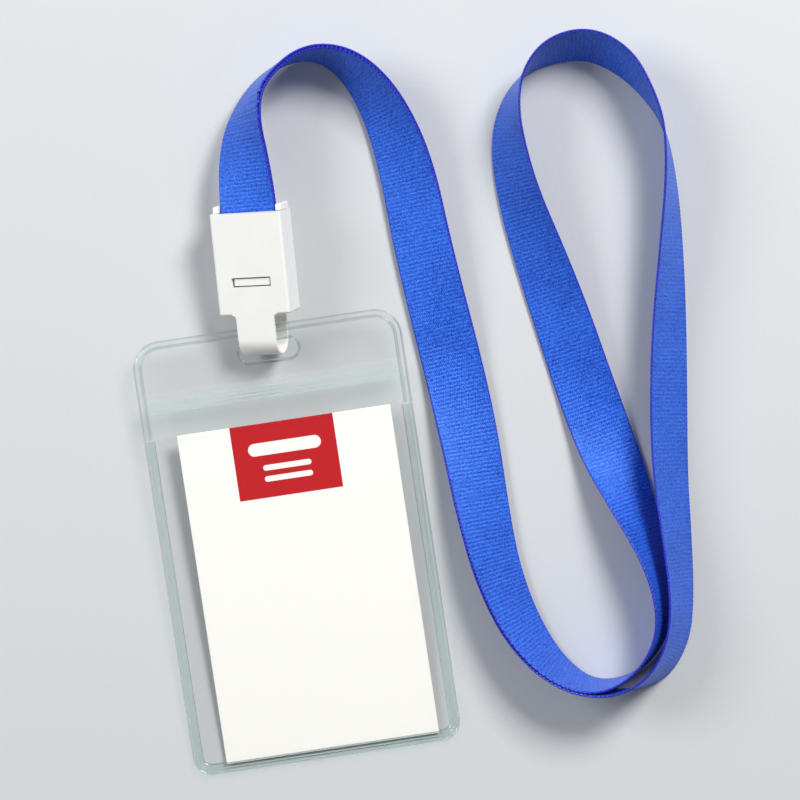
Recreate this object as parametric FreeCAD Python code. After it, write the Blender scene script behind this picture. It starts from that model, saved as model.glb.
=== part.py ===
import FreeCAD, Part

import math
import os

# A lanyard badge holder lying on a flat surface: a clear vinyl card pouch, the white plastic clip whose
# strap loops through the pouch's slot, and the doubled woven ribbon that the clip grips.
# Millimetres. +Y runs from the pouch towards the clip, +Z is up, z = 0 is the surface it lies on.

# ---- pouch, in its own frame: x across, y from its bottom edge up, z from its back face ----
POUCH_W = 68.0
POUCH_H = 110.0
TOP_CORNER_R = 7.0
BOTTOM_CORNER_R = 4.7
SHEET_T = 0.4
POUCH_TILT = 2.8          # degrees: the strap lifts the header, the bottom edge stays on the surface
POUCH_FOOT_Y = -70.6
RIM_W = 2.8               # thick moulded rim at the sides of the pocket
RIM_FOOT_W = 2.1
RIM_TOP_Z = 2.0
WINDOW_Z = 1.1            # underside of the front sheet
SEAM_Y = POUCH_H - 24.7   # weld line across the pocket's mouth
LIP_Y = POUCH_H - 13.2    # free edge of the zip flap
ZIP_Y = POUCH_H - 16.4    # middle of the zip
SIDE_STRIP_W = 1.5
WELD_INSET = 1.75
WELD_W = 0.9
SLOT_X = 0.3
SLOT_Y = POUCH_H - 6.4
SLOT_L = 14.6
SLOT_H = 4.5
EYELET_W = 0.9
CARD_W = 54.0
CARD_H = 83.5
CARD_T = 0.5
CARD_X = 1.35             # the card lies this far right of the middle
CARD_TOP = POUCH_H - 24.2

# ---- clip, in its own frame: origin on the axis of the strap's bend, x across, y towards the ribbon,
# z towards the cover's face ----
CLIP_AT = FreeCAD.Vector(-0.45, 36.3, 6.1)
CLIP_YAW = -3.0
CLIP_PITCH = 9.5
CLIP_ROLL = -20.0
BODY_W = 19.0
BODY_Y0 = 6.4
BODY_L = 25.4
FACE_Z = 4.4
BACK_Z = -2.6
WALL = 1.0
FACE_T = 1.2
STRAP_W = 10.0
STRAP_T = 0.7
LEG_FLARE_R = 1.0
LEG_KNEE_Y = 4.6          # where the back leg turns in towards the base
BEND_R = FACE_Z           # outside of the bend
WINDOW_L = 10.4
WINDOW_H = 2.4
WINDOW_Y = BODY_Y0 + BODY_L - 17.2
BASE_T = 1.2
EAR_RISE = 1.8            # the base's corner ears stand this far above the cover's top edge
EAR_W = 1.45
EAR_TOP_Z = 2.4
PAD_W = 14.0              # raised pad under the ribbon, and the teeth on it
PAD_Y = (19.0, 29.5)
PAD_T = 0.8
TEETH_Y = (20.5, 24.0, 27.5)
TOOTH_L = 1.6
LATCH_LOW_Z = 1.0         # underside of the latch bar and its flange
CLEAR = 0.2

# ---- ribbon ----
RIBBON_W = 15.0
RIBBON_T = 0.8
LAYER_GAP = 0.3           # between the two layers of the doubled run
GRIP_Z = 1.2              # height of the doubled ribbon's middle in the clip's frame
OUTER_END_Y = 27.0        # where the two cut ends lie in the clip
INNER_END_Y = 17.5
ARC_SHARE = 0.45
STEP_TURN = 6.0           # most degrees of arc, and most length, between two sections
STEP_RUN = 3.0

# The doubled run from the clip's mouth to the foot of the neck loop, and the neck loop: x, y, the lean of
# the ribbon about its own length in degrees, and its lift above lying on the surface.
RUN = [
    (0.8, 67.6, -20, 9.1), (1.5, 79.8, -34, 8.2), (2.7, 89.3, -52, 5.5), (6.2, 97.2, -70, 2.6),
    (12.0, 102.2, -79, 1.2), (18.5, 104.9, -89, 0.3), (25.2, 104.2, -101, 0), (31.3, 100.0, -116, 0),
    (36.3, 92.3, -130, 0), (39.8, 81.3, -144, 0), (41.5, 69.3, -156, 0), (42.2, 55.3, -162, 0),
    (43.6, 39.3, -168, 0), (45.5, 21.3, -178, 0), (46.8, 3.3, -194, 0), (47.3, -14.7, -208, 0),
    (48.6, -30.7, -219, 0), (52.4, -45.2, -228, 0), (59.0, -56.7, -243, 0), (68.0, -63.2, -260, 0),
]
LOOP = [
    (77.0, -64.7, -275, 0), (85.5, -61.4, -291, 0), (91.0, -53.7, -296, 0), (93.3, -43.7, -297, 0),
    (94.3, -28.7, -303, 0), (95.0, -12.7, -310, 0), (97.3, 5.3, -313, 0), (100.3, 24.3, -309, 0),
    (103.6, 43.3, -297, 0), (106.0, 59.3, -285, 0), (106.6, 73.3, -275, 0), (103.6, 82.8, -264, 0),
    (98.6, 91.5, -249, 0), (90.5, 97.1, -243, 0), (80.8, 96.7, -249, 0), (73.0, 92.1, -270, 0),
    (68.6, 84.1, -288, 0), (67.0, 74.3, -303, 0), (67.9, 61.3, -313, 0), (71.0, 45.8, -328, 0),
    (74.2, 29.8, -341, 0), (77.2, 13.3, -351, 0), (80.5, -2.7, -369, 0), (84.0, -16.2, -395, 0),
    (87.6, -29.7, -416, 0), (89.0, -42.2, -428, 0), (86.8, -53.2, -435, 0), (79.0, -61.0, -444, 0),
]

X, Y, Z = FreeCAD.Vector(1, 0, 0), FreeCAD.Vector(0, 1, 0), FreeCAD.Vector(0, 0, 1)


def vec(x, y, z=0.0):
    return FreeCAD.Vector(x, y, z)


def export(shape, node):
    if not shape.isValid():
        raise ValueError(node + " is not a valid solid")
    shape.exportStep("parts/" + node + ".step")
    print(node, "solids", len(shape.Solids), "volume", round(shape.Volume, 1))


def block(x0, x1, y0, y1, z0, z1):
    return Part.makeBox(x1 - x0, y1 - y0, z1 - z0, vec(x0, y0, z0))


def edges_along(shape, direction, chosen):
    """The straight edges parallel to a direction whose middle the function chosen accepts."""
    found = []
    for edge in shape.Edges:
        if edge.Curve.TypeId != "Part::GeomLine":
            continue
        if abs(abs(edge.tangentAt(edge.FirstParameter).dot(direction)) - 1) > 1e-6:
            continue
        if chosen(edge.CenterOfMass):
            found.append(edge)
    return found


def rounded_plate(x0, x1, y0, y1, z0, z1, foot_r, top_r):
    """A plate with rounded corners, one radius at the foot and one at the top."""
    plate = block(x0, x1, y0, y1, z0, z1)
    middle = (y0 + y1) / 2
    if foot_r:
        plate = plate.makeFillet(foot_r, edges_along(plate, Z, lambda c: c.y < middle))
    if top_r:
        plate = plate.makeFillet(top_r, edges_along(plate, Z, lambda c: c.y > middle))
    return plate


def prism(points, direction, length):
    """A flat outline carried along a direction."""
    wire = Part.makePolygon(points + [points[0]])
    return Part.Face(wire).extrude(direction * length)


# ---- the pouch ----
POUCH_PLACE = FreeCAD.Placement(vec(0, POUCH_FOOT_Y, 0), FreeCAD.Rotation(X, POUCH_TILT))
HALF = POUCH_W / 2


def in_pouch(shape):
    placed = shape.copy()
    placed.Placement = POUCH_PLACE.multiply(shape.Placement)
    return placed


def slot_prism(grow, z0, z1):
    """The slot's outline grown by an amount, its short ends rounded."""
    half_l, half_h = SLOT_L / 2 + grow, SLOT_H / 2 + grow
    return rounded_plate(SLOT_X - half_l, SLOT_X + half_l, SLOT_Y - half_h, SLOT_Y + half_h,
                         z0, z1, half_h - 0.05, half_h - 0.05)


def outline(inset, z0, z1):
    """The pouch's outline moved inwards by an inset."""
    return rounded_plate(inset - HALF, HALF - inset, inset, POUCH_H - inset, z0, z1,
                         BOTTOM_CORNER_R - inset / 2, TOP_CORNER_R - inset / 2)


def make_back_sheet():
    sheet = outline(0, 0, SHEET_T).cut(slot_prism(0, -1, 1))
    export(in_pouch(sheet), "back_sheet")


def make_header_sheet():
    """Upside-down U: the header above the lip and a strip down each side of the zip."""
    sheet = outline(0, SHEET_T, 2 * SHEET_T)
    sheet = sheet.cut(block(-HALF, HALF, -1, SEAM_Y + 0.1, -1, 3))
    inner = HALF - SIDE_STRIP_W
    sheet = sheet.cut(block(-inner, inner, SEAM_Y, LIP_Y + 0.3, -1, 3))
    export(in_pouch(sheet.cut(slot_prism(0, -1, 3))), "header_sheet")


def make_header_weld():
    """The raised line that welds the header's layers, open at the pocket's mouth."""
    low, high = 2 * SHEET_T, 2 * SHEET_T + 0.3
    side = (SIDE_STRIP_W - 0.7) / 2
    ring = outline(side, low, high).cut(outline(side + 0.7, low - 1, high + 1))
    ring = ring.cut(block(-HALF, HALF, -1, SEAM_Y + 0.1, -1, 3))
    ring = ring.cut(block(-HALF, HALF, LIP_Y + 0.3, POUCH_H + 1, -1, 3))
    arch = outline(WELD_INSET - WELD_W / 2, low, high)
    arch = arch.cut(outline(WELD_INSET + WELD_W / 2, low - 1, high + 1))
    arch = arch.cut(block(-HALF, HALF, -1, LIP_Y + 0.3, -1, 3))
    export(in_pouch(ring.fuse(arch)), "header_weld")


def make_slot_eyelet():
    low, high = 2 * SHEET_T, 2 * SHEET_T + 0.35
    ring = slot_prism(EYELET_W, low, high).cut(slot_prism(0, low - 1, high + 1))
    top = [e for e in ring.Edges if abs(e.CenterOfMass.z - high) < 1e-6]
    export(in_pouch(ring.makeFillet(0.12, top)), "slot_eyelet")


def make_pocket_rim():
    """U-shaped moulded rim: left side, foot and right side of the pocket."""
    rim = outline(0, SHEET_T, RIM_TOP_Z)
    inner = HALF - RIM_W
    rim = rim.cut(rounded_plate(-inner, inner, RIM_FOOT_W, POUCH_H, 0, 3, 3.0, 0))
    rim = rim.cut(block(-HALF, HALF, SEAM_Y, POUCH_H + 1, -1, 4))
    upper = [e for e in rim.Edges if abs(e.BoundBox.ZMin - RIM_TOP_Z) < 1e-6]
    rounded = [e for e in upper if e.CenterOfMass.y < SEAM_Y - 0.01]
    export(in_pouch(rim.makeFillet(0.5, rounded)), "pocket_rim")


def make_front_window():
    inner = HALF - RIM_W
    sheet = rounded_plate(-inner, inner, RIM_FOOT_W, SEAM_Y - 0.4, WINDOW_Z, WINDOW_Z + SHEET_T, 3.0, 0)
    export(in_pouch(sheet), "front_window")


def make_mouth_seam():
    inner = HALF - RIM_W
    seam = block(-inner, inner, SEAM_Y - 0.4, SEAM_Y + 0.3, WINDOW_Z, WINDOW_Z + 0.8)
    top = edges_along(seam, X, lambda c: c.z > WINDOW_Z + 0.7)
    export(in_pouch(seam.makeFillet(0.2, top)), "mouth_seam")


ZIP_INNER = HALF - SIDE_STRIP_W - 0.2
ZIP_RIB_X = 31.0


def make_zip_strip_rear():
    """A strip on the back sheet with two ribs, and the groove between them."""
    strip = block(-ZIP_INNER, ZIP_INNER, ZIP_Y - 1.5, LIP_Y - 0.3, SHEET_T, SHEET_T + 0.25)
    for side in (-1, 1):
        y = ZIP_Y + side * 0.85
        rib = block(-ZIP_RIB_X, ZIP_RIB_X, y - 0.25, y + 0.25, SHEET_T + 0.25, 1.15)
        strip = strip.fuse(rib)
    export(in_pouch(strip.removeSplitter()), "zip_strip_rear")


FLAP_Z = 1.35
FLAP_T = 0.3


def make_zip_strip_front():
    """The free flap: a thin strip with the rib that snaps into the groove, and two beads in front."""
    strip = block(-ZIP_INNER, ZIP_INNER, SEAM_Y + 0.6, LIP_Y, FLAP_Z, FLAP_Z + FLAP_T)
    rib = block(-ZIP_RIB_X, ZIP_RIB_X, ZIP_Y - 0.35, ZIP_Y + 0.35, 0.8, FLAP_Z)
    strip = strip.fuse(rib)
    for side in (-1, 1):
        y = ZIP_Y + side * 0.65
        bead = block(-ZIP_INNER, ZIP_INNER, y - 0.45, y + 0.45, FLAP_Z + FLAP_T, FLAP_Z + FLAP_T + 0.35)
        bead = bead.makeFillet(0.2, edges_along(bead, X, lambda c: c.z > FLAP_Z + FLAP_T + 0.3))
        strip = strip.fuse(bead)
    export(in_pouch(strip.removeSplitter()), "zip_strip_front")


def make_insert_card():
    low = SHEET_T + 0.05
    card = block(CARD_X - CARD_W / 2, CARD_X + CARD_W / 2, CARD_TOP - CARD_H, CARD_TOP, low, low + CARD_T)
    export(in_pouch(card), "insert_card")


# ---- the clip ----
CLIP_TURN = (FreeCAD.Rotation(Z, CLIP_YAW).multiply(FreeCAD.Rotation(X, CLIP_PITCH))
             .multiply(FreeCAD.Rotation(Y, CLIP_ROLL)))
CLIP_PLACE = FreeCAD.Placement(CLIP_AT, CLIP_TURN)
BODY_Y1 = BODY_Y0 + BODY_L
HALF_BODY = BODY_W / 2


def in_clip(shape):
    placed = shape.copy()
    placed.Placement = CLIP_PLACE.multiply(shape.Placement)
    return placed


def make_leg():
    """The strap's front leg, flared where it meets the cover's foot."""
    side, flare = STRAP_W / 2, LEG_FLARE_R
    low = FACE_Z - STRAP_T

    def flank(sign):
        bend = BODY_Y0 - flare
        half_way = math.pi / 4
        mid = vec(sign * (side + flare * (1 - math.cos(half_way))), bend + flare * math.sin(half_way), low)
        return Part.Arc(vec(sign * side, bend, low), mid, vec(sign * (side + flare), BODY_Y0, low)).toShape()

    top = BODY_Y0 + 0.5
    lines = [
        Part.makeLine(vec(side, 0, low), vec(side, BODY_Y0 - flare, low)),
        flank(1),
        Part.makeLine(vec(side + flare, BODY_Y0, low), vec(side + flare, top, low)),
        Part.makeLine(vec(side + flare, top, low), vec(-side - flare, top, low)),
        Part.makeLine(vec(-side - flare, top, low), vec(-side - flare, BODY_Y0, low)),
        flank(-1),
        Part.makeLine(vec(-side, BODY_Y0 - flare, low), vec(-side, 0, low)),
        Part.makeLine(vec(-side, 0, low), vec(side, 0, low)),
    ]
    return Part.Face(Part.Wire(Part.__sortEdges__(lines))).extrude(Z * STRAP_T)


def make_clip_front_cover():
    """Front shell with side walls and foot wall, the latch window, and the straight front leg below."""
    cover = block(-HALF_BODY, HALF_BODY, BODY_Y0, BODY_Y1, BACK_Z, FACE_Z)
    cover = cover.makeFillet(0.7, edges_along(cover, Y, lambda c: c.z > 0))
    cover = cover.makeFillet(0.5, edges_along(cover, Z, lambda c: c.y < BODY_Y0 + 1))
    inside = HALF_BODY - WALL
    cover = cover.cut(block(-inside, inside, BODY_Y0 + WALL, BODY_Y1 + 1, BACK_Z - 1, FACE_Z - FACE_T))
    gate, gate_top = STRAP_W / 2 + CLEAR, BACK_Z + BASE_T + CLEAR
    cover = cover.cut(block(-gate, gate, BODY_Y0 - 1, BODY_Y0 + WALL + 1, BACK_Z - 1, gate_top))
    lip = block(-inside, inside, BODY_Y1 - 1.2, BODY_Y1, GRIP_Z + RIBBON_T + 0.35, FACE_Z - FACE_T)
    half_l, half_h = WINDOW_L / 2, WINDOW_H / 2
    window = block(-half_l, half_l, WINDOW_Y - half_h, WINDOW_Y + half_h, 0, FACE_Z + 1)
    cover = cover.fuse([lip, make_leg()]).removeSplitter()
    export(in_clip(cover.cut(window)), "clip_front_cover")


def make_clip_strap_bend():
    """Half a tube: the strap's bend, from the cover's leg round to the base's leg."""
    disc = Part.makeCylinder(BEND_R, STRAP_W, vec(-STRAP_W / 2, 0, 0), X)
    bore = Part.makeCylinder(BEND_R - STRAP_T, STRAP_W, vec(-STRAP_W / 2, 0, 0), X)
    bend = disc.cut(bore).cut(block(-STRAP_W, STRAP_W, 0, 10, -10, 10))
    export(in_clip(bend), "clip_strap_bend")


def make_clip_rear_base():
    """Rear plate with its back leg, teeth that bite the ribbon, and the two corner ears."""
    plate_top = BACK_Z + BASE_T
    inside = HALF_BODY - WALL - CLEAR
    base = block(-inside, inside, BODY_Y0 + WALL + 2 * CLEAR, BODY_Y1 + 0.5, BACK_Z, plate_top)
    side = -STRAP_W / 2
    leg_top, root = STRAP_T - BEND_R, BODY_Y0 + 2
    leg = prism([vec(side, 0, -BEND_R), vec(side, 0, leg_top), vec(side, LEG_KNEE_Y, leg_top),
                 vec(side, BODY_Y0, plate_top), vec(side, root, plate_top), vec(side, root, BACK_Z),
                 vec(side, BODY_Y0, BACK_Z), vec(side, LEG_KNEE_Y, -BEND_R)], X, STRAP_W)
    outer = HALF_BODY - 0.4
    sill = block(-outer, outer, BODY_Y1 + 0.15, BODY_Y1 + 1.3, BACK_Z, plate_top)
    pad = block(-PAD_W / 2, PAD_W / 2, PAD_Y[0], PAD_Y[1], plate_top, plate_top + PAD_T)
    pieces = [leg, sill, pad]
    for side in (-1, 1):
        ear = block(outer - EAR_W, outer, BODY_Y1 + 0.15, BODY_Y1 + EAR_RISE, BACK_Z, EAR_TOP_Z)
        ear = ear.makeFillet(0.5, edges_along(ear, Z, lambda c: c.y > BODY_Y1 + 1))
        if side < 0:
            ear = ear.mirror(vec(0, 0, 0), X)
        pieces.append(ear)
    foot, tip = plate_top + PAD_T - 0.1, GRIP_Z - RIBBON_T - LAYER_GAP / 2 + 0.05
    for y in TEETH_Y:
        pieces.append(prism([vec(-PAD_W / 2, y - TOOTH_L / 2, foot), vec(-PAD_W / 2, y + TOOTH_L / 2, foot),
                             vec(-PAD_W / 2, y, tip)], X, PAD_W))
    export(in_clip(base.fuse(pieces).removeSplitter()), "clip_rear_base")


def make_clip_latch_finger():
    """The bar seen in the cover's window, on the flange that keeps it behind the cover."""
    half_l, half_h = WINDOW_L / 2 - 0.35, WINDOW_H / 2 - 0.35
    bar = block(-half_l, half_l, WINDOW_Y - half_h, WINDOW_Y + half_h, LATCH_LOW_Z, FACE_Z - 0.35)
    bar = bar.makeChamfer(0.5, edges_along(bar, Y, lambda c: c.z > 2 and c.x < 0))
    flange = block(-half_l - 0.9, half_l + 0.9, WINDOW_Y - 2.2, WINDOW_Y + 2.2,
                   LATCH_LOW_Z, LATCH_LOW_Z + 1.0)
    stem = block(-3.0, 3.0, WINDOW_Y - 1.0, WINDOW_Y + 1.0, BACK_Z + BASE_T + 1.2, LATCH_LOW_Z + 0.1)
    export(in_clip(bar.fuse([flange, stem]).removeSplitter()), "clip_latch_finger")


# ---- the ribbon ----
def rest_height(lean, thickness):
    """Height of the middle of a section that leans by an angle and touches the surface."""
    a = math.radians(lean)
    return abs(math.sin(a)) * RIBBON_W / 2 + abs(math.cos(a)) * thickness / 2 + 0.05


def across(direction, lean):
    """The section's width direction, turned from the horizontal about the ribbon's own length."""
    a = math.radians(lean)
    level = Z.cross(direction).normalize()
    return level * math.cos(a) + direction.cross(level) * math.sin(a)


def layer(points, side, end_y):
    """One layer of the doubled run: its points moved off the shared middle, and its end in the clip."""
    shift = side * (RIBBON_T + LAYER_GAP) / 2
    double_t = 2 * RIBBON_T + LAYER_GAP
    middle = [(vec(x, y, rest_height(lean, double_t) + lift), lean) for x, y, lean, lift in points]
    end = CLIP_PLACE.multVec(vec(0, end_y, GRIP_Z))
    middle.insert(0, (end, points[0][2]))
    moved = []
    for i, (p, lean) in enumerate(middle):
        before, after = middle[max(i - 1, 0)][0], middle[min(i + 1, len(middle) - 1)][0]
        direction = (after - before).normalize()
        moved.append((p + direction.cross(across(direction, lean)) * shift, lean))
    return moved


def route():
    """The whole ribbon: out through the outer layer, round the neck loop, back through the inner one."""
    outer = layer(RUN, 1, OUTER_END_Y)
    loop = [(vec(x, y, rest_height(lean, RIBBON_T) + lift), lean) for x, y, lean, lift in LOOP]
    inner = [(p, -720 - lean) for p, lean in reversed(layer(RUN, -1, INNER_END_Y))]
    return outer + loop + inner, len(outer), len(outer) + len(loop)


def sections(points):
    """Places, directions and leans along straight runs joined by tangent arcs, and each point's section."""
    found, at_point = [(points[0][0], (points[1][0] - points[0][0]).normalize())], {0: 0}
    length, radii = 0.0, []
    for i in range(1, len(points) - 1):
        a, b, c = points[i - 1][0], points[i][0], points[i + 1][0]
        d_in, d_out = (b - a).normalize(), (c - b).normalize()
        turn = d_in.getAngle(d_out)
        shorter = min((b - a).Length, (c - b).Length)
        radius = ARC_SHARE * shorter / math.tan(turn / 2)
        radii.append(radius)
        start = b - d_in * ARC_SHARE * shorter
        inward = (d_out - d_in * d_in.dot(d_out)).normalize()
        centre = start + inward * radius
        gap = (start - found[-1][0]).Length
        for k in range(1, int(gap / STEP_RUN) + 1):
            found.append((found[-1][0] + d_in * gap / (int(gap / STEP_RUN) + 1), d_in))
        parts = max(math.degrees(turn) / STEP_TURN, radius * turn / STEP_RUN)
        steps = 2 * math.ceil(parts / 2)
        for k in range(steps + 1):
            w = turn * k / steps
            place = centre - inward * radius * math.cos(w) + d_in * radius * math.sin(w)
            found.append((place, d_in * math.cos(w) + inward * math.sin(w)))
            if k == steps // 2:
                at_point[i] = len(found) - 1
        length += gap + radius * turn
    last = points[-1][0]
    length += (last - found[-1][0]).Length
    found.append((last, d_out))
    at_point[len(points) - 1] = len(found) - 1
    print("ribbon length", round(length, 1), "radii", [round(r) for r in radii])
    return found, at_point


def leans_at(found, at_point, points):
    """The lean at each section, growing evenly with length from one point of the route to the next."""
    leans = []
    for i in range(len(points) - 1):
        first, last = at_point[i], at_point[i + 1]
        run = [0.0]
        for k in range(first, last):
            run.append(run[-1] + (found[k + 1][0] - found[k][0]).Length)
        for k in range(first, last):
            share = run[k - first] / run[-1]
            leans.append(points[i][1] + share * (points[i + 1][1] - points[i][1]))
    return leans + [points[-1][1]]


def strip(found, leans, node):
    """A flat strip with a closed skin of triangles, carried through its sections."""
    rings, length = [], 0.0
    for (place, direction), lean in zip(found, leans):
        u = across(direction, lean) * (RIBBON_W / 2)
        n = direction.cross(u).normalize() * (RIBBON_T / 2)
        ring = [place + u + n, place - u + n, place - u - n, place + u - n]
        lowest = min(p.z for p in ring)
        rings.append([p + Z * max(0, 0.02 - lowest) for p in ring])
    for a, b in zip(found, found[1:]):
        length += (b[0] - a[0]).Length
    faces = []

    def triangle(a, b, c):
        faces.append(Part.Face(Part.makePolygon([a, b, c, a])))

    for low, high in zip(rings, rings[1:]):
        for k in range(4):
            m = (k + 1) % 4
            if k < 2:
                triangle(low[k], high[k], high[m])
                triangle(low[k], high[m], low[m])
            else:
                triangle(low[k], high[k], low[m])
                triangle(high[k], high[m], low[m])
    for ring in (rings[0], rings[-1]):
        triangle(ring[0], ring[1], ring[2])
        triangle(ring[0], ring[2], ring[3])
    solid = Part.Solid(Part.Shell(faces))
    if solid.Volume < 0:
        solid.reverse()
    export(solid, node)
    print("  section x length", round(RIBBON_W * RIBBON_T * length, 1))


def make_ribbon():
    points, first, last = route()
    found, at_point = sections(points)
    leans = leans_at(found, at_point, points)
    cuts = [0, at_point[first], at_point[last - 1], len(found) - 1]
    for node, start, end in zip(("ribbon_outer_run", "ribbon_neck_loop", "ribbon_inner_run"), cuts, cuts[1:]):
        strip(found[start:end + 1], leans[start:end + 1], node)


os.makedirs("parts", exist_ok=True)
make_back_sheet()
make_header_sheet()
make_header_weld()
make_slot_eyelet()
make_pocket_rim()
make_front_window()
make_mouth_seam()
make_zip_strip_rear()
make_zip_strip_front()
make_insert_card()
make_clip_front_cover()
make_clip_strap_bend()
make_clip_rear_base()
make_clip_latch_finger()
make_ribbon()
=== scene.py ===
from math import radians, pi

import bmesh
import bpy
import numpy as np
from mathutils import Matrix, Vector


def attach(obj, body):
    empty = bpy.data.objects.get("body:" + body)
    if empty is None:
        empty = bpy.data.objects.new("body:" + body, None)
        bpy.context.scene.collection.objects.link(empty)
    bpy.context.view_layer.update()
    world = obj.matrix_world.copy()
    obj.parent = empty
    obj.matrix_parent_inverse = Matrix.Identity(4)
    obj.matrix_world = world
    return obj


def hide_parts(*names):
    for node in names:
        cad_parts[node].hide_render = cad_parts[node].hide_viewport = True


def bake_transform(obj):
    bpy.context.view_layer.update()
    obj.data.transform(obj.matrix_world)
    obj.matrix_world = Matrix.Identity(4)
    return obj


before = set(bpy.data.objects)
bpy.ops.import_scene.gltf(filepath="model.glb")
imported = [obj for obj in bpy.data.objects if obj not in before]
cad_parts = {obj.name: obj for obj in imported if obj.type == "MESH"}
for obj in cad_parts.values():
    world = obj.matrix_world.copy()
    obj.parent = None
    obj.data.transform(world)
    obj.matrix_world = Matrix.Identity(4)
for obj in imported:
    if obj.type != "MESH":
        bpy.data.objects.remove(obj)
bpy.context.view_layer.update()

# ======================================================================================================
# The table top, the lights and the camera.
# The badge holder lies on a plain pale top that shows it from straight above. A large soft light stands
# beyond the clip on the right and another about half as strong on the left, so both flanks shine.


def linear(code):
    """A colour as shader sockets take it: each sRGB hex pair as a share of 255, through the sRGB curve."""
    share = [int(code[i:i + 2], 16) / 255 for i in (1, 3, 5)]
    return tuple(c / 12.92 if c <= 0.04045 else ((c + 0.055) / 1.055) ** 2.4 for c in share) + (1.0,)


def add(tree, kind, inputs=None, **settings):
    """Adds one node, sets its settings, and gives each named input a value or a link from a socket."""
    node = tree.nodes.new("ShaderNode" + kind)
    for name, value in settings.items():
        setattr(node, name, value)
    for key, value in (inputs or {}).items():
        if isinstance(value, bpy.types.NodeSocket):
            tree.links.new(value, node.inputs[key])
        else:
            node.inputs[key].default_value = value
    return node


def new_material(name):
    """An empty node material."""
    made = bpy.data.materials.new(name)
    made.use_nodes = True
    made.node_tree.nodes.clear()
    return made, made.node_tree


def place(name, data):
    """An object at the origin that shows this data."""
    made = bpy.data.objects.new(name, data)
    bpy.context.scene.collection.objects.link(made)
    return made


# Matte paint, rolled on: its fine grain breaks up the lamps, so the top shows tone but no reflections.
# Every noise scale in this script counts grains per metre.
top_material, tree = new_material("matte_table_top")
top_place = add(tree, "TexCoord").outputs["Object"]
grain = add(tree, "TexNoise", {"Vector": top_place, "Scale": 900.0, "Detail": 3.0})
ripple = add(tree, "Bump", {"Height": grain.outputs["Fac"], "Strength": 0.15, "Distance": 0.0002})
painted = add(tree, "BsdfPrincipled", {"Base Color": linear("#C8CACC"), "Roughness": 0.62,
                                       "Normal": ripple.outputs["Normal"]})
add(tree, "OutputMaterial", {"Surface": painted.outputs["BSDF"]})

TOP_GAP = 0.0002           # keeps the top just clear of the vinyl's own underside
TOP_SIZE = 3.0
half = TOP_SIZE / 2
top_mesh = bpy.data.meshes.new("table_top")
top_mesh.from_pydata([(-half, -half, -TOP_GAP), (half, -half, -TOP_GAP), (half, half, -TOP_GAP),
                      (-half, half, -TOP_GAP)], [], [(0, 1, 2, 3)])
top_mesh.materials.append(top_material)
place("table_top", top_mesh)

MIDDLE = Vector((0.03096, 0.01572, 0.004))


def soft_light(name, at, size, watts, colour):
    """A square area light that faces the middle of the object."""
    data = bpy.data.lights.new(name, "AREA")
    data.size = size
    data.energy = watts
    data.color = linear(colour)[:3]
    lamp = place(name, data)
    lamp.location = at
    lamp.rotation_euler = (Vector(at) - MIDDLE).to_track_quat("Z", "Y").to_euler()


soft_light("key_light", (0.60, 0.62, 0.85), 0.40, 14.6, "#FFFEFB")
soft_light("fill_light", (-0.75, 0.45, 0.70), 0.50, 7.0, "#FAFCFF")
soft_light("low_light", (0.25, -0.95, 0.40), 0.40, 0.5, "#FFFFFF")
sky = bpy.data.worlds.new("studio")
sky.use_nodes = True
sky.node_tree.nodes["Background"].inputs["Color"].default_value = linear("#EEF2F8")
sky.node_tree.nodes["Background"].inputs["Strength"].default_value = 0.23
bpy.context.scene.world = sky
bpy.context.scene.view_settings.view_transform = "Standard"
bpy.context.scene.cycles.transparent_max_bounces = 32    # the pouch is many clear skins deep

FIELD = 0.2005             # width of the view at the object
LENS = 150.0
SENSOR = 36.0
CAMERA_TURN = radians(-8.51)
camera_data = bpy.data.cameras.new("camera")
camera_data.lens = LENS
camera_data.sensor_width = SENSOR
camera = place("camera", camera_data)
camera.location = MIDDLE + Vector((0, 0, FIELD * LENS / SENSOR))
camera.rotation_euler = (0, 0, CAMERA_TURN)
bpy.context.scene.camera = camera

# ======================================================================================================
# The lanyard ribbon: 15 mm of ribbed polyester, 0.85 m from one cut end to the other.
# Both cut ends are gripped in the clip. The ribbon runs doubled from there to the foot of the neck loop,
# where its two layers part. It is woven flat, with a bead of thicker yarn along each edge.
CLIP_AT = np.array([-0.00045, 0.0363, 0.0061])
CLIP_TURN = np.array(Matrix.Rotation(radians(-3.0), 3, "Z") @ Matrix.Rotation(radians(9.5), 3, "X")
                     @ Matrix.Rotation(radians(-20.0), 3, "Y"))
GRIP = 0.0012              # height of the doubled ribbon's middle in the clip
OUTER_END = 0.0270         # where the two cut ends lie along the clip
INNER_END = 0.0175
RIBBON_WIDTH = 0.0150
WEAVE_THICK = 0.00052
BEAD_HIGH = 0.00010        # the edge beads stand this far above the faces
RIBBON_THICK = WEAVE_THICK + 2 * BEAD_HIGH
LAYER_STEP = RIBBON_THICK + 0.00004        # from one layer's middle to the other's
REST_GAP = 0.00005         # keeps the ribbon's lower edge just above the top

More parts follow.
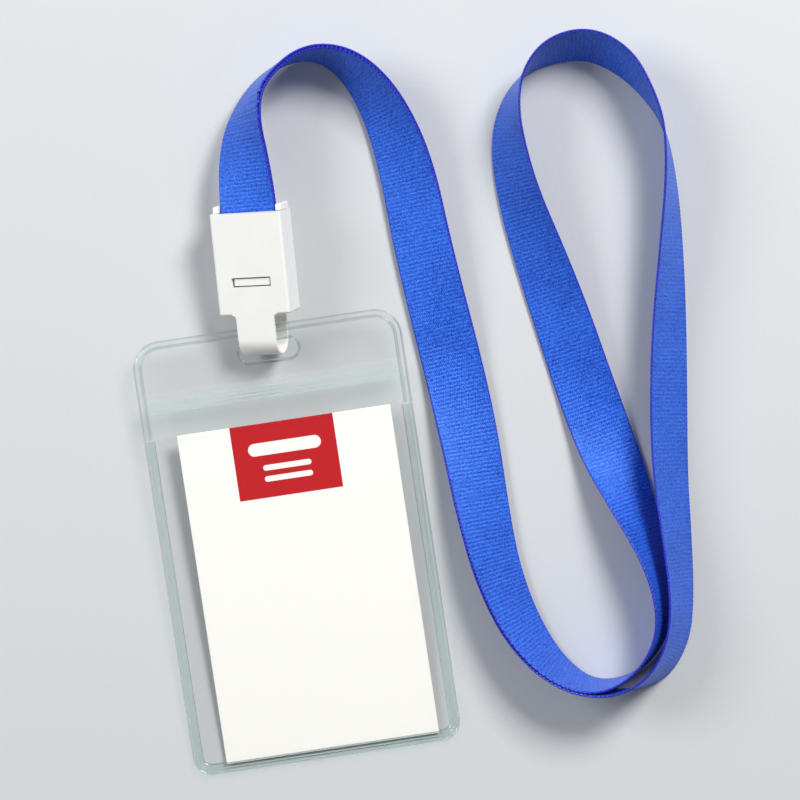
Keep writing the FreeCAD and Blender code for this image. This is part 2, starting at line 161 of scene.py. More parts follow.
# x, y, the lean about the ribbon's own length in degrees, and the lift above lying on the top
RUN = np.array([
    (0.8, 67.6, -19, 9.1), (1.3, 79.6, -32, 8.2), (2.5, 89.6, -57, 5.5), (5.9, 97.1, -76, 2.6),
    (12.0, 102.2, -83, 1.2), (18.5, 104.9, -91, 0.3), (25.2, 104.2, -101, 0), (31.3, 100.0, -116, 0),
    (36.3, 92.3, -130, 0), (39.8, 81.3, -144, 0), (41.5, 69.3, -156, 0), (42.2, 55.3, -162, 0),
    (43.6, 39.3, -168, 0), (45.5, 21.3, -178, 0), (46.8, 3.3, -194, 0), (47.3, -14.7, -208, 0),
    (48.6, -30.7, -219, 0), (52.4, -45.2, -228, 0), (59.0, -56.7, -243, 0), (68.0, -63.2, -260, 0),
]) * (0.001, 0.001, pi / 180, 0.001)
LOOP = np.array([
    (77.0, -64.7, -275, 0), (85.5, -61.4, -291, 0), (91.0, -53.7, -296, 0), (93.3, -43.7, -297, 0),
    (94.3, -28.7, -303, 0), (95.0, -12.7, -310, 0), (97.3, 5.3, -313, 0), (100.3, 24.3, -309, 0),
    (103.6, 43.3, -297, 0), (106.0, 59.3, -285, 0), (106.6, 73.3, -275, 0), (103.6, 82.8, -264, 0),
    (98.6, 91.5, -249, 0), (90.5, 97.1, -243, 0), (80.8, 96.7, -249, 0), (73.0, 92.1, -270, 0),
    (68.6, 84.1, -288, 0), (67.0, 74.3, -303, 0), (67.9, 61.3, -313, 0), (71.0, 45.8, -328, 0),
    (74.2, 29.8, -341, 0), (77.2, 13.3, -351, 0), (80.5, -2.7, -369, 0), (84.0, -16.2, -395, 0),
    (87.6, -29.7, -416, 0), (89.0, -42.2, -428, 0), (86.8, -53.2, -435, 0), (79.0, -61.0, -444, 0),
]) * (0.001, 0.001, pi / 180, 0.001)


def in_clip(points):
    """Points given along the clip's own axes, as rows: turned with the clip and moved to its place."""
    return np.asarray(points) @ CLIP_TURN.T + CLIP_AT


def unit(rows):
    """Each row divided by its own length."""
    return rows / np.linalg.norm(rows, axis=1, keepdims=True)


def section_axes(places, leans):
    """Width and face directions of a leaning strip along its line: the level direction square to the line
    is turned by the lean about the line, and the face direction is square to both."""
    along = unit(np.gradient(places, axis=0))
    level = unit(np.cross((0, 0, 1), along))
    turned = np.cos(leans)[:, None] * level + np.sin(leans)[:, None] * np.cross(along, level)
    return turned, np.cross(along, turned)


def standing(stretch, thickness):
    """Middle of a strip that stands on its lower edge: as high as half its width times the sine of the
    lean plus half its thickness times the cosine, and then its lift."""
    high = (np.abs(np.sin(stretch[:, 2])) * RIBBON_WIDTH + np.abs(np.cos(stretch[:, 2])) * thickness) / 2
    return np.column_stack([stretch[:, :2], high + REST_GAP + stretch[:, 3]])


def layer(side, end):
    """One layer of the doubled run: the shared middle moved half a layer along its face direction."""
    middle = np.vstack([in_clip([(0, end, GRIP)]), standing(RUN, RIBBON_THICK + LAYER_STEP)])
    leans = np.append(RUN[0, 2], RUN[:, 2])
    face = section_axes(middle, leans)[1]
    return middle + face * side * LAYER_STEP / 2, leans


def smooth_line(name, points):
    """Places along a NURBS line of order 3 that has these rows as its control points."""
    data = bpy.data.curves.new(name, "CURVE")
    data.dimensions = "3D"
    spline = data.splines.new("NURBS")
    spline.points.add(len(points) - 1)
    spline.points.foreach_set("co", np.column_stack([points, np.ones(len(points))]).ravel())
    spline.order_u = 3
    spline.use_endpoint_u = True
    spline.resolution_u = 24
    line = bpy.data.objects.new(name, data)
    mesh = bpy.data.meshes.new_from_object(line)
    found = np.empty(len(mesh.vertices) * 3)
    mesh.vertices.foreach_get("co", found)
    bpy.data.meshes.remove(mesh)
    bpy.data.objects.remove(line)
    return found.reshape(-1, 3)


outer, outer_lean = layer(1, OUTER_END)
inner, inner_lean = layer(-1, INNER_END)
route = np.vstack([outer, standing(LOOP, RIBBON_THICK), inner[::-1]])
BOTH_WAYS = -4 * pi        # the lean out and the lean back add up to two whole turns
route_lean = np.concatenate([outer_lean, LOOP[:, 2], BOTH_WAYS - inner_lean[::-1]])
line = smooth_line("ribbon_line", route)
line_lean = smooth_line("ribbon_lean", np.column_stack([route_lean, np.zeros((len(route), 2))]))[:, 0]

RIB = 0.00098              # from one crosswise rib to the next
RIB_HIGH = 0.00003
PUCKER_AT = 0.0325         # where the turning ribbon puckers, from the outer cut end
PUCKER_LONG = 0.0055       # how far it fades over
PUCKER_STEP = 0.0036       # from one pucker to the next
PUCKER_RATIO = 2.05        # how many smaller puckers there are to each
PUCKER_HIGH = 0.00019
BEAD = 0.00060             # width of the beaded edge
BEAD_CREST = 0.45 * BEAD   # how far in from the edge it is highest
BEAD_REACH = 0.7 * BEAD    # how far in its colour and height count
BEAD_DIP = 0.00010         # how far the edge draws in between two ribs
PER_RIB = 4                # rings of the skin to each rib
ACROSS = 9                 # columns of the skin over each face

gone = np.append(0, np.cumsum(np.linalg.norm(np.diff(line, axis=0), axis=1)))
ribbon_length = gone[-1]
steps = int(ribbon_length / RIB) * PER_RIB
run = np.linspace(0, ribbon_length, steps + 1)
places = np.column_stack([np.interp(run, gone, line[:, k]) for k in range(3)])
wide, face = section_axes(places, np.interp(run, gone, line_lean))


def strip_grid(run):
    """Offsets of a woven strip's skin: across the width on one face and back on the other. The faces rise
    by a rib's height as a raised cosine of the run, and the outermost columns by a bead's height, with the
    beads half a rib out of step and drawn in between ribs. Near the turn the sum of two sines along the
    run, faded by a bell curve and growing towards one edge, moves both faces together: the pucker."""
    edge = RIBBON_WIDTH / 2
    crest = edge - BEAD_CREST
    u = np.concatenate([[-edge, -crest], np.linspace(-1, 1, ACROSS) * (edge - BEAD), [crest, edge]])
    u = np.concatenate([u, u[-2:0:-1]])
    columns = len(u)
    side = np.where(np.arange(columns) < ACROSS + 4, 1.0, -1.0)
    side[[0, ACROSS + 3]] = 0.0
    in_edge = np.abs(u) > edge - BEAD_REACH
    rib = 0.5 - 0.5 * np.cos(2 * pi * run / RIB)
    bead = 0.5 + 0.5 * np.cos(2 * pi * run / RIB)
    high = WEAVE_THICK / 2 + np.where(in_edge, BEAD_HIGH * bead[:, None], RIB_HIGH * rib[:, None])
    out = u + np.sign(u) * np.where(np.abs(u) == edge, BEAD_DIP * (bead[:, None] - 1), 0)
    back_at = run[-1] - PUCKER_AT - (OUTER_END - INNER_END)
    near, back = (np.exp(-((run - at) / PUCKER_LONG) ** 2) for at in (PUCKER_AT, back_at))
    turn = 2 * pi * run / PUCKER_STEP
    pucker = PUCKER_HIGH * (near - back) * (np.sin(turn) + np.sin(PUCKER_RATIO * turn))
    return out, high * side + pucker[:, None] * (0.5 - u / RIBBON_WIDTH) ** 2, u / RIBBON_WIDTH + 0.5


SHARP = radians(60)        # faces that meet at more than this show a crease


def loop_mesh(name, rings, closed_ends=True, u_values=None, v_values=None):
    """A skin through rings of points, rows by columns by three: each ring is joined to the next, round
    and round, and the first and last rings are capped. A skin that encloses a negative volume is turned."""
    rows, columns = rings.shape[:2]
    at = np.arange(rows * columns).reshape(rows, columns)
    nxt = np.roll(at, -1, axis=1)
    quads = np.stack([at[:-1], nxt[:-1], nxt[1:], at[1:]], axis=-1).reshape(-1, 4)
    faces = quads.tolist()
    if closed_ends:
        faces += [at[0, ::-1].tolist(), at[-1].tolist()]
    mesh = bpy.data.meshes.new(name)
    mesh.from_pydata(rings.reshape(-1, 3), [], faces)
    probe = bmesh.new()
    probe.from_mesh(mesh)
    inside_out = probe.calc_volume(signed=True) < 0
    probe.free()
    if inside_out:
        mesh.flip_normals()
    mesh.shade_smooth()
    mesh.set_sharp_from_angle(angle=SHARP)
    if u_values is not None:
        uv = mesh.uv_layers.new(name="UVMap")
        corner = np.empty(len(mesh.loops), dtype=int)
        mesh.loops.foreach_get("vertex_index", corner)
        pairs = np.column_stack([np.tile(u_values, rows), np.repeat(v_values, columns)])
        uv.data.foreach_set("uv", pairs[corner].ravel())
    return mesh


out, high, share = strip_grid(run)
rings = places[:, None, :] + wide[:, None, :] * out[..., None] + face[:, None, :] * high[..., None]
ribbon_mesh = loop_mesh("lanyard_ribbon", rings[:, ::-1], u_values=share[::-1], v_values=run / RIBBON_WIDTH)
ribbon = place("lanyard_ribbon", ribbon_mesh)

# Woven polyester, dyed in the piece: satin warp yarns pass over thick filling yarns, half a yarn out of step
# from one rib to the next. The blue is painted lighter along each rib's crest and each warp yarn, as painted
# highlights, and darker in the gaps between the ribs, as painted shade; the fine speckle and broad uneven
# patches are the cloth's own random tone.
YARN = 0.00046             # from one warp yarn to the next, as coarse as it needs to be to show
ribbon_material, tree = new_material("ribbed_polyester")
woven = add(tree, "SeparateXYZ", {"Vector": add(tree, "UVMap", uv_map="UVMap").outputs["UV"]})
ribs = add(tree, "Math", {0: woven.outputs["Y"], 1: RIBBON_WIDTH / RIB}, operation="MULTIPLY")
rib_turn = add(tree, "Math", {0: ribs.outputs[0], 1: 2 * pi}, operation="MULTIPLY")
rib_wave = add(tree, "Math", {0: rib_turn.outputs[0]}, operation="COSINE")
crest = add(tree, "MapRange", {"Value": rib_wave.outputs[0], "From Min": 1.0, "From Max": -1.0})
rib_number = add(tree, "Math", {0: ribs.outputs[0]}, operation="FLOOR")
half_step = add(tree, "Math", {0: rib_number.outputs[0], 1: pi}, operation="MULTIPLY")
yarn_turn = add(tree, "Math", {0: woven.outputs["X"], 1: 2 * pi * RIBBON_WIDTH / YARN,
                               2: half_step.outputs[0]}, operation="MULTIPLY_ADD")
yarn_wave = add(tree, "Math", {0: yarn_turn.outputs[0]}, operation="COSINE")
yarn = add(tree, "MapRange", {"Value": yarn_wave.outputs[0], "From Min": -1.0, "From Max": 1.0})
cloth_place = add(tree, "TexCoord").outputs["Object"]
fuzz = add(tree, "TexNoise", {"Vector": cloth_place, "Scale": 2300.0, "Detail": 2.0})
uneven = add(tree, "TexNoise", {"Vector": cloth_place, "Scale": 90.0, "Detail": 3.0})
speckle = add(tree, "MapRange", {"Value": fuzz.outputs["Fac"], "From Min": 0.37, "From Max": 0.63})
# The tone that picks the blue: painted highlight on each rib's crest and each warp yarn and painted shade in
# the gaps between ribs, plus random speckle and broad uneven patches of the cloth's own.
tone = add(tree, "Math", {0: crest.outputs[0], 1: 0.16}, operation="MULTIPLY")
tone = add(tree, "Math", {0: yarn.outputs[0], 1: 0.24, 2: tone.outputs[0]}, operation="MULTIPLY_ADD")
tone = add(tree, "Math", {0: speckle.outputs[0], 1: 0.42, 2: tone.outputs[0]}, operation="MULTIPLY_ADD")
tone = add(tree, "Math", {0: uneven.outputs["Fac"], 1: 0.30, 2: tone.outputs[0]}, operation="MULTIPLY_ADD")
dye_and_painted_light = add(tree, "ValToRGB", {"Fac": tone.outputs[0]})
dye_and_painted_light.color_ramp.elements[0].position = 0.18
dye_and_painted_light.color_ramp.elements[0].color = linear("#0A2290")
dye_and_painted_light.color_ramp.elements[1].position = 0.92
dye_and_painted_light.color_ramp.elements[1].color = linear("#3A78F4")
off_middle = add(tree, "Math", {0: woven.outputs["X"], 1: 0.5}, operation="SUBTRACT")
from_middle = add(tree, "Math", {0: off_middle.outputs[0]}, operation="ABSOLUTE")
edge_share = add(tree, "MapRange", {"Value": from_middle.outputs[0],
                                    "From Min": 0.5 - BEAD_REACH / RIBBON_WIDTH,
                                    "From Max": 0.5 - BEAD / 2 / RIBBON_WIDTH})
# The beads' own violet, painted lighter on each raised bead and dark navy in the dips between: painted
# highlight and shade that follow the beads' rise and fall.
edge_dye_and_painted_light = add(tree, "ValToRGB", {"Fac": crest.outputs[0]})
edge_dye_and_painted_light.color_ramp.elements[0].color = linear("#3C3AD6")
edge_dye_and_painted_light.color_ramp.elements[1].color = linear("#14197E")
colour = add(tree, "Mix", {0: edge_share.outputs[0], 6: dye_and_painted_light.outputs["Color"], 7: edge_dye_and_painted_light.outputs["Color"]},
             data_type="RGBA")
weave_height = add(tree, "Math", {0: yarn.outputs[0], 1: crest.outputs[0]}, operation="MULTIPLY")
weave_height = add(tree, "Math", {0: speckle.outputs[0], 1: 0.5, 2: weave_height.outputs[0]},
                   operation="MULTIPLY_ADD")
weave_bump = add(tree, "Bump", {"Height": weave_height.outputs[0], "Strength": 0.7, "Distance": 0.00010})
cloth = add(tree, "BsdfPrincipled", {"Base Color": colour.outputs[2], "Roughness": 0.40, "IOR": 1.62,
                                     "Specular Tint": linear("#7FB0FF"), "Specular IOR Level": 0.8,
                                     "Sheen Weight": 0.08, "Sheen Roughness": 0.45,
                                     "Sheen Tint": linear("#3F7BFF"),
                                     "Normal": weave_bump.outputs["Normal"]})
add(tree, "OutputMaterial", {"Surface": cloth.outputs["BSDF"]})
ribbon_mesh.materials.append(ribbon_material)
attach(ribbon, "lanyard")
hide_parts("ribbon_outer_run", "ribbon_neck_loop", "ribbon_inner_run")

# ======================================================================================================
# The clip: white polypropylene, its cover and base joined by a strap that loops through the pouch.
# The strap's bend, a living hinge that bends as the cover opens, is a skin of its own here, drawn as it lies
# closed. The other pieces keep their moulded shapes. All show the mould's fine spark-eroded grain under a
# soft shine.
clip_material, tree = new_material("moulded_polypropylene")
clip_place = add(tree, "TexCoord").outputs["Object"]
mould_grain = add(tree, "TexNoise", {"Vector": clip_place, "Scale": 4200.0, "Detail": 2.0})
flow = add(tree, "TexNoise", {"Vector": clip_place, "Scale": 160.0, "Detail": 2.0})
mould_bump = add(tree, "Bump", {"Height": mould_grain.outputs["Fac"], "Strength": 0.22, "Distance": 0.00003})
shine = add(tree, "MapRange", {"Value": flow.outputs["Fac"], "To Min": 0.34, "To Max": 0.46})
white = add(tree, "ValToRGB", {"Fac": flow.outputs["Fac"]})
white.color_ramp.elements[0].color = linear("#EBEAE5")
white.color_ramp.elements[1].color = linear("#F1F0EB")
plastic = add(tree, "BsdfPrincipled", {"Base Color": white.outputs["Color"], "Roughness": shine.outputs[0],
                                       "IOR": 1.49, "Normal": mould_bump.outputs["Normal"]})
add(tree, "OutputMaterial", {"Surface": plastic.outputs["BSDF"]})
for node in ("clip_front_cover", "clip_rear_base", "clip_latch_finger"):
    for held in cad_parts[node].material_slots:
        held.material = clip_material

STRAP_WIDTH = 0.0100
STRAP_THICK = 0.0007
BEND_RADIUS = 0.0044       # outside of the bend
STRAP_ROUND = 0.00025      # radius of the strap's long edges
BEND_STEPS = 48
CORNER_STEPS = 5


def rounded_box(width, height, radius, steps):
    """Outline of a rectangle with round corners, anticlockwise, as rows of two: each corner's centre plus
    a quarter circle."""
    turn = np.linspace(0, pi / 2, steps)
    quarter = np.arange(4).repeat(steps) * pi / 2 + np.tile(turn, 4)
    centre_x = np.array([1, -1, -1, 1]).repeat(steps) * (width / 2 - radius)
    centre_y = np.array([1, 1, -1, -1]).repeat(steps) * (height / 2 - radius)
    return np.column_stack([centre_x + radius * np.cos(quarter), centre_y + radius * np.sin(quarter)])


def strap_bend():
    """The strap's section carried round half a turn about the clip's cross axis, from the cover's leg in
    front to the base's leg behind."""
    section = rounded_box(STRAP_WIDTH, STRAP_THICK, STRAP_ROUND, CORNER_STEPS)
    turn = np.linspace(0, pi, BEND_STEPS + 1)[:, None]
    out = BEND_RADIUS - STRAP_THICK / 2 + section[:, 1]
    side = np.broadcast_to(section[:, 0], (BEND_STEPS + 1, len(section)))
    return in_clip(np.stack([side, -out * np.sin(turn), out * np.cos(turn)], axis=-1).reshape(-1, 3)
                   ).reshape(BEND_STEPS + 1, -1, 3)


bend_mesh = loop_mesh("strap_bend", strap_bend()[:, ::-1])
bend_mesh.materials.append(clip_material)
bend = place("strap_bend", bend_mesh)
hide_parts("clip_strap_bend")
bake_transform(bend)

# ======================================================================================================
# The pouch's sheets: clear soft vinyl, 0.4 mm thick, a back sheet under the whole pouch, a second one
# over the header and a front window over the pocket. Clear vinyl shows mostly as gloss and a faint haze.


def clear_vinyl(name, haze, tint, roughness, wave_scale, wave_depth):
    """Clear vinyl: light passes through with a little tint, a share is scattered as haze, and the gloss
    grows with the fifth power of how far the surface turns away, the same on both of a sheet's faces."""
    made, tree = new_material(name)
    where = add(tree, "TexCoord").outputs["Object"]
    wave = add(tree, "TexNoise", {"Vector": where, "Scale": wave_scale, "Detail": 1.0})
    dent = add(tree, "Bump", {"Height": wave.outputs["Fac"], "Strength": 1.0, "Distance": wave_depth})
    through = add(tree, "BsdfTransparent", {"Color": linear(tint)})
    milky = add(tree, "BsdfPrincipled", {"Base Color": linear("#F7F9F9"), "Roughness": 0.5,
                                         "Normal": dent.outputs["Normal"]})
    body = add(tree, "MixShader", {0: haze, 1: through.outputs[0], 2: milky.outputs[0]})
    gloss = add(tree, "BsdfAnisotropic", {"Color": linear("#FFFFFF"), "Roughness": roughness,
                                          "Normal": dent.outputs["Normal"]})
    facing = add(tree, "LayerWeight", {"Blend": 0.5, "Normal": dent.outputs["Normal"]})
    grazing = add(tree, "Math", {0: facing.outputs["Facing"], 1: 5.0}, operation="POWER")
    law = add(tree, "MapRange", {"Value": grazing.outputs[0], "To Min": 0.025, "To Max": 0.9})
    skin = add(tree, "MixShader", {0: law.outputs[0], 1: body.outputs[0], 2: gloss.outputs[0]})
    add(tree, "OutputMaterial", {"Surface": skin.outputs[0]})
    return made


sheet_material = clear_vinyl("clear_vinyl_sheet", 0.004, "#FEFEFE", 0.07, 45.0, 0.00012)
for node in ("back_sheet", "header_sheet", "front_window"):
    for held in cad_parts[node].material_slots:
        held.material = sheet_material

# ======================================================================================================
# The pouch's welds: the ridges that heat and pressure leave where the sheets join.
# A thick rim runs round the pocket, a raised line follows the header's edge, another rings the slot, and
# a seam closes the pocket's mouth. All but that thin seam are solid, and their round backs bend the view.
POUCH_WIDTH = 0.0680
POUCH_HEIGHT = 0.1100
POUCH_FOOT = -0.0706
POUCH_TILT = radians(2.8)
SHEET = 0.0004
HEADER = 2 * SHEET         # height of the header's two sheets
TOP_ROUND = 0.0070
FOOT_ROUND = 0.0047
SEAM = 0.0853              # how far up the pocket's mouth lies
OUTLINE_STEPS = 24         # places round each corner
DOME_STEPS = 9
DOME_POWER = 0.8
RIM_STEPS = 61
RIM_INSET = 0.00005
RIM_WIDE = 0.0027
RIM_LOW = SHEET + 0.00003
RIM_HIGH = 0.0009
RIM_EDGE = 0.00055         # how far the rim's edge ridges stand above its back
RIM_CROWN = 0.00035        # and the one between them
SLOT_AT = (0.0003, 0.1036)
SLOT_LONG = 0.0146
SLOT_HIGH = 0.0045
LINE_WIDE = 0.0008         # the raised line round the header
LINE_INSET = 0.00175       # to the middle of that line
LINE_LOW = SHEET + 0.00002
LINE_HIGH = HEADER + 0.00045
EDGE_INSET = 0.00002       # the header's own edge
EDGE_WIDE = 0.0005
EDGE_LOW = HEADER - 0.0002
EDGE_HIGH = HEADER + 0.00025
EYELET_INSET = 0.00004     # the raised edge of the slot
EYELET_WIDE = 0.0008
EYELET_HIGH = HEADER + 0.00034
LINE_START = SEAM + 0.0004
EDGE_START = SEAM + 0.0001
WINDOW_LOW = 0.0011        # height of the front window's foot
MOUTH_START = SEAM - 0.0004
MOUTH_WIDE = 0.0007        # the line across the pocket's mouth
MOUTH_HIGH = WINDOW_LOW + 0.0005
POCKET_HALF = 0.0312
BAR_STEPS = 9              # places along a bar across the pouch


def in_pouch(points):
    """Points given along the pouch's own axes: tilted up about its foot and moved to its place."""
    x, y, z = np.moveaxis(np.asarray(points, float), -1, 0)
    return np.stack([x, POUCH_FOOT + y * np.cos(POUCH_TILT) - z * np.sin(POUCH_TILT),
                     y * np.sin(POUCH_TILT) + z * np.cos(POUCH_TILT)], axis=-1)


def pouch_outline(start, above):
    """Places on the pouch's outline above a height, or below it, and the inward directions there: up or
    down the left side, round two quarter circles, and back to that height on the right side."""
    turn = np.linspace(0, pi / 2, OUTLINE_STEPS)
    side = POUCH_WIDTH / 2
    r, end, way = (TOP_ROUND, POUCH_HEIGHT, 1) if above else (FOOT_ROUND, 0.0, -1)
    left = np.column_stack([-side + r - r * np.cos(turn), end - way * (r - r * np.sin(turn))])
    inward_left = np.column_stack([np.cos(turn), -way * np.sin(turn)])
    path = np.vstack([[(-side, start)], left, (left * (-1, 1))[::-1], [(side, start)]])
    inward = np.vstack([[(1, 0)], inward_left, (inward_left * (-1, 1))[::-1], [(-1, 0)]])
    return path, inward


def ridge(name, path, inward, section, closed=False):
    """A weld: its section, as rows of inset from the outline and height, carried along the outline. Each
    place is the outline's own plus the inset times the inward direction."""
    flat = path[:, None, :] + inward[:, None, :] * section[None, :, 0, None]
    high = np.broadcast_to(section[:, 1], flat.shape[:2])
    rings = in_pouch(np.concatenate([flat, high[..., None]], axis=-1))
    if closed:
        rings = np.concatenate([rings, rings[:1]])
    return loop_mesh(name, rings, closed_ends=not closed)


def domed(inset, width, low, high):
    """Section of a ridge with a flat foot: over half a turn the inset moves as the cosine from one side to
    the other, and the height rises from low to high as the sine to the power that rounds the back."""
    turn = np.linspace(0, pi, DOME_STEPS)
    across = inset + width / 2 - width / 2 * np.cos(turn)
    return np.column_stack([across, low + (high - low) * np.sin(turn) ** DOME_POWER])


def bumps(at, centres, width, height):
    """Heights of round-backed lines along a section: a bell curve at each of their centres."""
    return sum(height * np.exp(-((at - centre) / width) ** 2) for centre in centres)


def ridged_rim():
    """Section of the pocket's rim: a flat back with a ridge along each edge and a lower one between, all
    fading at the rim's two sides as the square root of a clipped sine."""
    share = np.linspace(0, 1, RIM_STEPS)
    back = RIM_HIGH + bumps(share, (0.10, 0.90), 0.05, RIM_EDGE) + bumps(share, (0.48,), 0.06, RIM_CROWN)
    sides = np.clip(np.sin(pi * share) * 5, 0, 1) ** 0.5
    return np.column_stack([RIM_INSET + share * RIM_WIDE, RIM_LOW + back * sides])


def slot_outline():
    """Places round the slot and the directions away from it: two half circles joined by straights."""
    turn = np.linspace(-pi / 2, pi / 2, 25)
    away = np.column_stack([np.cos(turn), np.sin(turn)])
    right = away * SLOT_HIGH / 2 + ((SLOT_LONG - SLOT_HIGH) / 2, 0)
    return np.vstack([right, -right]) + SLOT_AT, np.vstack([away, -away])


def solid_vinyl(name, tint, roughness, haze):
    """Clear vinyl thick enough to bend what is seen through it: glass-like, with a share scattered as haze.
    Lamp light and light scattered off what lies near pass straight on, so a clear bead throws only a faint
    shadow and gathers no glow round it."""
    made, tree = new_material(name)
    where = add(tree, "TexCoord").outputs["Object"]
    wobble = add(tree, "TexNoise", {"Vector": where, "Scale": 260.0, "Detail": 1.0})
    dent = add(tree, "Bump", {"Height": wobble.outputs["Fac"], "Strength": 1.0, "Distance": 0.00003})
    bead = add(tree, "BsdfPrincipled", {"Base Color": linear(tint), "Roughness": roughness, "IOR": 1.52,
                                        "Transmission Weight": 1.0, "Normal": dent.outputs["Normal"]})
    milky = add(tree, "BsdfPrincipled", {"Base Color": linear("#F7F9F9"), "Roughness": 0.4})
    body = add(tree, "MixShader", {0: haze, 1: bead.outputs[0], 2: milky.outputs[0]})
    lamp_light = add(tree, "BsdfTransparent", {"Color": linear("#F8FBFA")})
    path = add(tree, "LightPath").outputs
    near_light = add(tree, "MixShader", {0: path["Is Diffuse Ray"], 1: body.outputs[0],
                                         2: lamp_light.outputs[0]})
    skin = add(tree, "MixShader", {0: path["Is Shadow Ray"], 1: near_light.outputs[0],
                                   2: lamp_light.outputs[0]})
    add(tree, "OutputMaterial", {"Surface": skin.outputs[0]})
    return made


weld_material = solid_vinyl("clear_vinyl_weld", "#E4F0EC", 0.03, 0.01)


def finish_piece(mesh, material, slot_name, body, *nodes):
    """A finished piece of the pouch, named as its mesh: its material, its body, and the solids that it
    stands for. The slot name is not used."""
    mesh.materials.append(material)
    piece = place(mesh.name, mesh)
    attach(piece, body)
    if nodes:
        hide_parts(*nodes)


finish_piece(ridge("pocket_rim_weld", *pouch_outline(SEAM, above=False), ridged_rim()),
             weld_material, "vinyl_rim", "holder", "pocket_rim")
line_section = domed(LINE_INSET - LINE_WIDE / 2, LINE_WIDE, LINE_LOW, LINE_HIGH)
finish_piece(ridge("header_line_weld", *pouch_outline(LINE_START, above=True), line_section),
             weld_material, "vinyl_weld", "holder", "header_weld")
edge_section = domed(EDGE_INSET, EDGE_WIDE, EDGE_LOW, EDGE_HIGH)
finish_piece(ridge("header_edge_weld", *pouch_outline(EDGE_START, above=True), edge_section),
             weld_material, "vinyl_weld", "holder")
eyelet_section = domed(EYELET_INSET, EYELET_WIDE, HEADER, EYELET_HIGH)
finish_piece(ridge("slot_eyelet_weld", *slot_outline(), eyelet_section, closed=True),
             weld_material, "vinyl_weld", "holder", "slot_eyelet")


def extruded(name, half_length, section):
    """A bar across the pouch: its section, as rows of distance up the pouch and height, carried straight
    from one side to the other."""
    x = np.linspace(-half_length, half_length, BAR_STEPS)[:, None]
    up = np.broadcast_to(section[:, 0], (BAR_STEPS, len(section)))
    high = np.broadcast_to(section[:, 1], up.shape)
    return loop_mesh(name, in_pouch(np.stack([np.broadcast_to(x, up.shape), up, high], axis=-1)))


mouth_section = domed(MOUTH_START, MOUTH_WIDE, WINDOW_LOW, MOUTH_HIGH)
finish_piece(extruded("mouth_seam_weld", POCKET_HALF, mouth_section),
             sheet_material, "vinyl_weld", "holder", "mouth_seam")

# ======================================================================================================
# The zip: two extruded strips of clear vinyl. The rear one has a groove between two ribs, and the front
# one is a flap, fixed along the mouth's seam, with grip lines at its lip and bead lines over the groove.
# A little haze in the vinyl makes the lines read as whitish streaks.
ZIP = 0.0936               # how far up the pouch the ribs snap together
LIP = 0.0968               # how far up the zip flap's free edge lies
ZIP_HALF = 0.0317
GROOVE = 0.00085           # from the middle of the groove to the rib on either side
GROOVE_WIDE = 0.00022
GROOVE_HIGH = 0.0005
GROOVE_FROM = ZIP - 0.0015
GROOVE_TO = LIP - 0.0003
GROOVE_LOW = SHEET + 0.00002
GROOVE_THICK = 0.00023
FLAP_FROM = SEAM + 0.0006
FLAP_LOW = 0.00135
FLAP_THICK = 0.0003
LIP_LINES = (LIP - 0.0002, LIP - 0.0010)       # the grip lines beside the flap's free edge
LIP_LINE_WIDE = 0.00012
LIP_LINE_HIGH = 0.00016
BEADS = (ZIP - 0.00060, ZIP + 0.00030)         # the two bead lines on the flap's front
BEAD_WIDE = 0.00020
BEAD_LINE_HIGH = 0.00062
BEADS_FROM = ZIP - 0.0017
BEADS_TO = ZIP + 0.0014
BEADS_LOW = FLAP_LOW + FLAP_THICK + 0.00001
BEADS_THICK = 0.00006
FINE_STEP = 0.00022        # three fine lines on each side of the beads, this far apart
FINE_LINES = [ZIP + start + FINE_STEP * k for start in (-0.00158, 0.00082) for k in range(3)]
FINE_WIDE = 0.00007
FINE_HIGH = 0.00016
STRIP_STEPS = 121


def strip_section(start, end, low, thick, *lines):
    """Section of a strip across the pouch: its flat foot, and its back raised by every set of lines, each
    given as centres, width and height."""
    up = np.linspace(start, end, STRIP_STEPS)
    back = low + thick + sum(bumps(up, *line_set) for line_set in lines)
    return np.vstack([[(start, low)], np.column_stack([up, back]), [(end, low)]])


zip_material = clear_vinyl("clear_vinyl_zip", 0.05, "#FCFDFD", 0.10, 60.0, 0.0001)
rib_material = solid_vinyl("clear_vinyl_rib", "#EEF5F3", 0.04, 0.12)
groove_section = strip_section(GROOVE_FROM, GROOVE_TO, GROOVE_LOW, GROOVE_THICK,
                               ((ZIP - GROOVE, ZIP + GROOVE), GROOVE_WIDE, GROOVE_HIGH))
finish_piece(extruded("zip_groove_strip", ZIP_HALF, groove_section),
             zip_material, "zip_vinyl", "holder", "zip_strip_rear")
flap_section = strip_section(FLAP_FROM, LIP, FLAP_LOW, FLAP_THICK,
                             (LIP_LINES, LIP_LINE_WIDE, LIP_LINE_HIGH))
finish_piece(extruded("zip_flap_strip", ZIP_HALF, flap_section),
             zip_material, "zip_vinyl", "zip_flap", "zip_strip_front")
bead_section = strip_section(BEADS_FROM, BEADS_TO, BEADS_LOW, BEADS_THICK,
                             (BEADS, BEAD_WIDE, BEAD_LINE_HIGH), (FINE_LINES, FINE_WIDE, FINE_HIGH))
finish_piece(extruded("zip_bead_lines", ZIP_HALF, bead_section), rib_material, "zip_vinyl", "zip_flap")

# ======================================================================================================
# The card in the pocket: smooth white card, 54 by 83.5 mm, with one printed panel at its head.
# Generic bars stand in the panel where a name or a mark would be printed.
CARD_WIDTH = 0.0540
CARD_LONG = 0.0835
CARD_THICK = 0.0005
CARD_TOP = 0.0858
CARD_SIDE = 0.00135        # the card's middle lies this far right of the pouch's
CARD_LOW = SHEET + 0.00005
CUT_IN = 0.0002            # how far the cut edge draws in at the two faces
CUT_DEEP = 0.00008         # and over what depth
CORNER = 0.0003


